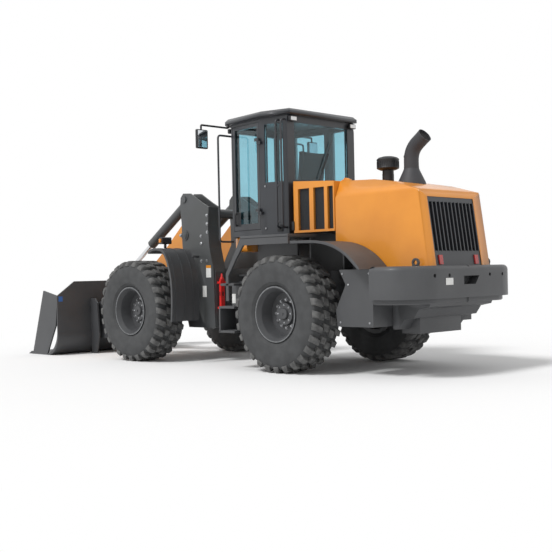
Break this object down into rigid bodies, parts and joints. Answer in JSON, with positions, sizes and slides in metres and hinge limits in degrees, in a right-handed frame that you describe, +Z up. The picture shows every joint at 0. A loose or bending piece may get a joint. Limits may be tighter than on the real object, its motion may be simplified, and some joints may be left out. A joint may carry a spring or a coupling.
{
  "type": "articulated wheel loader",
  "caption": "Articulated wheel loader with parallel lift arms, a bucket on a coupler, a high glazed cab, a rear engine under a sloping hood and large lugged tyres.",
  "frame": {"origin": "on the ground, in the middle of the machine's length and width, under the rear edge of the cab's front half", "axes": "+X forward to the bucket, +Y to the machine's left, +Z up"},
  "size_m": [7.87, 2.55, 3.405],
  "materials": {
    "orange_paint": "gloss orange paint",
    "machine_grey": "satin dark grey paint",
    "cab_black": "satin charcoal paint",
    "tyre_rubber": "matt black rubber",
    "rim_grey": "satin dark grey paint",
    "rod_chrome": "polished",
    "pin_steel": "machined",
    "tinted_glass": "blue-green tint",
    "seat_cloth": "woven",
    "black_plastic": "matt",
    "cast_dark": "as cast",
    "lock_red": "gloss red paint",
    "lamp_red": "clear red lens",
    "core_black": "black fins",
    "exhaust_black": "heat-proof black"
  },
  "bodies": {
    "rear": {"rear_frame": "machine_grey", "counterweight": "machine_grey", "side_boxes": "machine_grey", "rear_fenders": "machine_grey", "ladders": "machine_grey", "cab_frame": "cab_black", "cab_glass": "tinted_glass", "cab_roof": "cab_black", "seat": "seat_cloth", "steering_column": "black_plastic", "mirrors": "cab_black", "cooler_box": "orange_paint", "radiator": "core_black", "engine": "cast_dark", "rear_axle": "cast_dark", "rear_drive_shaft": "cast_dark"},
    "hood": {"hood": "orange_paint", "rear_grille": "cab_black", "tail_lamps": "lamp_red", "exhaust_stack": "exhaust_black", "precleaner": "black_plastic"},
    "cab_door": {"door_frame": "cab_black", "door_glass": "tinted_glass"},
    "front": {"front_frame": "machine_grey", "front_axle": "cast_dark", "front_drive_shaft": "cast_dark", "front_fenders": "machine_grey", "head_lamps": "cab_black", "lock_bar": "lock_red"},
    "boom": {"boom": "orange_paint"},
    "lift_barrels": {"lift_barrels": "machine_grey"},
    "lift_rods": {"lift_rods": "rod_chrome"},
    "tilt_barrels": {"tilt_barrels": "machine_grey"},
    "tilt_rods": {"tilt_rods": "rod_chrome"},
    "bucket_pins": {"bucket_pins": "pin_steel"},
    "bucket": {"bucket": "machine_grey", "coupler": "machine_grey"},
    "bellcrank_pins": {"bellcrank_pins": "pin_steel"},
    "bellcranks": {"bellcranks": "orange_paint"},
    "link_pins": {"link_pins": "pin_steel"},
    "tilt_links": {"tilt_links": "orange_paint"},
    "steering_barrel_left": {"steering_barrel_left": "machine_grey"},
    "steering_rod_left": {"steering_rod_left": "rod_chrome"},
    "steering_barrel_right": {"steering_barrel_right": "machine_grey"},
    "steering_rod_right": {"steering_rod_right": "rod_chrome"},
    "wheel_front_left": {"tyre_front_left": "tyre_rubber", "rim_front_left": "rim_grey"},
    "wheel_front_right": {"tyre_front_right": "tyre_rubber", "rim_front_right": "rim_grey"},
    "wheel_rear_left": {"tyre_rear_left": "tyre_rubber", "rim_rear_left": "rim_grey"},
    "wheel_rear_right": {"tyre_rear_right": "tyre_rubber", "rim_rear_right": "rim_grey"}
  },
  "joints": [
    {"name": "wheel_front_left_spin", "type": "hinge", "parent": "front", "child": "wheel_front_left", "pos_m": [1.2, 0.975, 0.74], "axis": [0, 1, 0], "continuous": true},
    {"name": "wheel_front_right_spin", "type": "hinge", "parent": "front", "child": "wheel_front_right", "pos_m": [1.2, -0.975, 0.74], "axis": [0, 1, 0], "continuous": true},
    {"name": "wheel_rear_left_spin", "type": "hinge", "parent": "rear", "child": "wheel_rear_left", "pos_m": [-1.83, 0.975, 0.74], "axis": [0, 1, 0], "continuous": true},
    {"name": "wheel_rear_right_spin", "type": "hinge", "parent": "rear", "child": "wheel_rear_right", "pos_m": [-1.83, -0.975, 0.74], "axis": [0, 1, 0], "continuous": true},
    {"name": "frame_articulation", "type": "hinge", "parent": "rear", "child": "front", "pos_m": [-0.315, 0, 0.885], "axis": [0, 0, 1], "range_deg": [-40, 40]},
    {"name": "boom_lift", "type": "hinge", "parent": "front", "child": "boom", "pos_m": [0.615, 0, 1.835], "axis": [0, -1, 0], "range_deg": [0, 86]},
    {"name": "bucket_tilt", "type": "hinge", "parent": "bucket_pins", "child": "bucket", "pos_m": [2.635, 0, 0.42], "axis": [0, 1, 0], "range_deg": [-42, 50]},
    {"name": "hood_opening", "type": "hinge", "parent": "rear", "child": "hood", "pos_m": [-2.365, 0, 2.421], "axis": [0, 1, 0], "range_deg": [0, 50]},
    {"name": "cab_door_swing", "type": "hinge", "parent": "rear", "child": "cab_door", "pos_m": [-1.107, 0.736, 2.55], "axis": [0, 0, 1], "range_deg": [0, 90]},
    {"name": "lift_barrel_swing", "type": "hinge", "parent": "front", "child": "lift_barrels", "pos_m": [0.305, 0, 0.68], "axis": [0, -1, 0], "range_deg": [0, 35]},
    {"name": "lift_rod_slide", "type": "slide", "parent": "lift_barrels", "child": "lift_rods", "axis": [0.8707, 0, 0.4918], "range_m": [0, 0.855]},
    {"name": "bucket_pin_turn", "type": "hinge", "parent": "boom", "child": "bucket_pins", "pos_m": [2.635, 0, 0.42], "axis": [0, -1, 0], "range_deg": [-86.1, 0]},
    {"name": "bellcrank_pin_turn", "type": "hinge", "parent": "boom", "child": "bellcrank_pins", "pos_m": [2.034, 0, 0.899], "axis": [0, -1, 0], "range_deg": [-86.1, 0]},
    {"name": "bellcrank_turn", "type": "hinge", "parent": "bellcrank_pins", "child": "bellcranks", "pos_m": [2.034, 0, 0.899], "axis": [0, 1, 0], "range_deg": [-42.1, 50.1]},
    {"name": "link_pin_turn", "type": "hinge", "parent": "bellcranks", "child": "link_pins", "pos_m": [1.984, 0, 1.249], "axis": [0, -1, 0], "range_deg": [0, 86.1]},
    {"name": "tilt_link_turn", "type": "hinge", "parent": "link_pins", "child": "tilt_links", "pos_m": [1.984, 0, 1.249], "axis": [0, 1, 0], "range_deg": [-50.1, 42.1]},
    {"name": "tilt_barrel_swing", "type": "hinge", "parent": "front", "child": "tilt_barrels", "pos_m": [0.62, 0, 2.36], "axis": [0, -1, 0], "range_deg": [0, 86.1]},
    {"name": "tilt_rod_slide", "type": "slide", "parent": "tilt_barrels", "child": "tilt_rods", "axis": [0.8348, 0, -0.5506], "range_m": [-0.265, 0.315]},
    {"name": "steering_barrel_swing_left", "type": "hinge", "parent": "rear", "child": "steering_barrel_left", "pos_m": [-1.015, 0.23, 0.9], "axis": [0, 0, 1], "range_deg": [-8.2, 8.2]},
    {"name": "steering_rod_slide_left", "type": "slide", "parent": "steering_barrel_left", "child": "steering_rod_left", "axis": [0.9994, 0.0337, 0], "range_m": [-0.172, 0.172]},
    {"name": "steering_barrel_swing_right", "type": "hinge", "parent": "rear", "child": "steering_barrel_right", "pos_m": [-1.015, -0.23, 0.9], "axis": [0, 0, 1], "range_deg": [-8.2, 8.2]},
    {"name": "steering_rod_slide_right", "type": "slide", "parent": "steering_barrel_right", "child": "steering_rod_right", "axis": [0.9994, -0.0337, 0], "range_m": [-0.172, 0.172]}
  ],
  "couplings": [
    {"joint": "lift_barrel_swing", "follows": "boom_lift", "ratio": 0.405},
    {"joint": "lift_rod_slide", "follows": "boom_lift", "m_per_rad": 0.5676},
    {"joint": "bucket_pin_turn", "follows": "boom_lift", "ratio": -1},
    {"joint": "bellcrank_pin_turn", "follows": "boom_lift", "ratio": -1},
    {"joint": "bellcrank_turn", "follows": "bucket_tilt", "ratio": 1},
    {"joint": "link_pin_turn", "follows": "boom_lift", "ratio": 1},
    {"joint": "tilt_link_turn", "follows": "bucket_tilt", "ratio": -1},
    {"joint": "tilt_barrel_swing", "follows": "boom_lift", "ratio": 1},
    {"joint": "tilt_rod_slide", "follows": "bucket_tilt", "m_per_rad": 0.36},
    {"joint": "steering_barrel_swing_left", "follows": "frame_articulation", "ratio": 0.203},
    {"joint": "steering_rod_slide_left", "follows": "frame_articulation", "m_per_rad": -0.243},
    {"joint": "steering_barrel_swing_right", "follows": "frame_articulation", "ratio": 0.203},
    {"joint": "steering_rod_slide_right", "follows": "frame_articulation", "m_per_rad": 0.243}
  ]
}
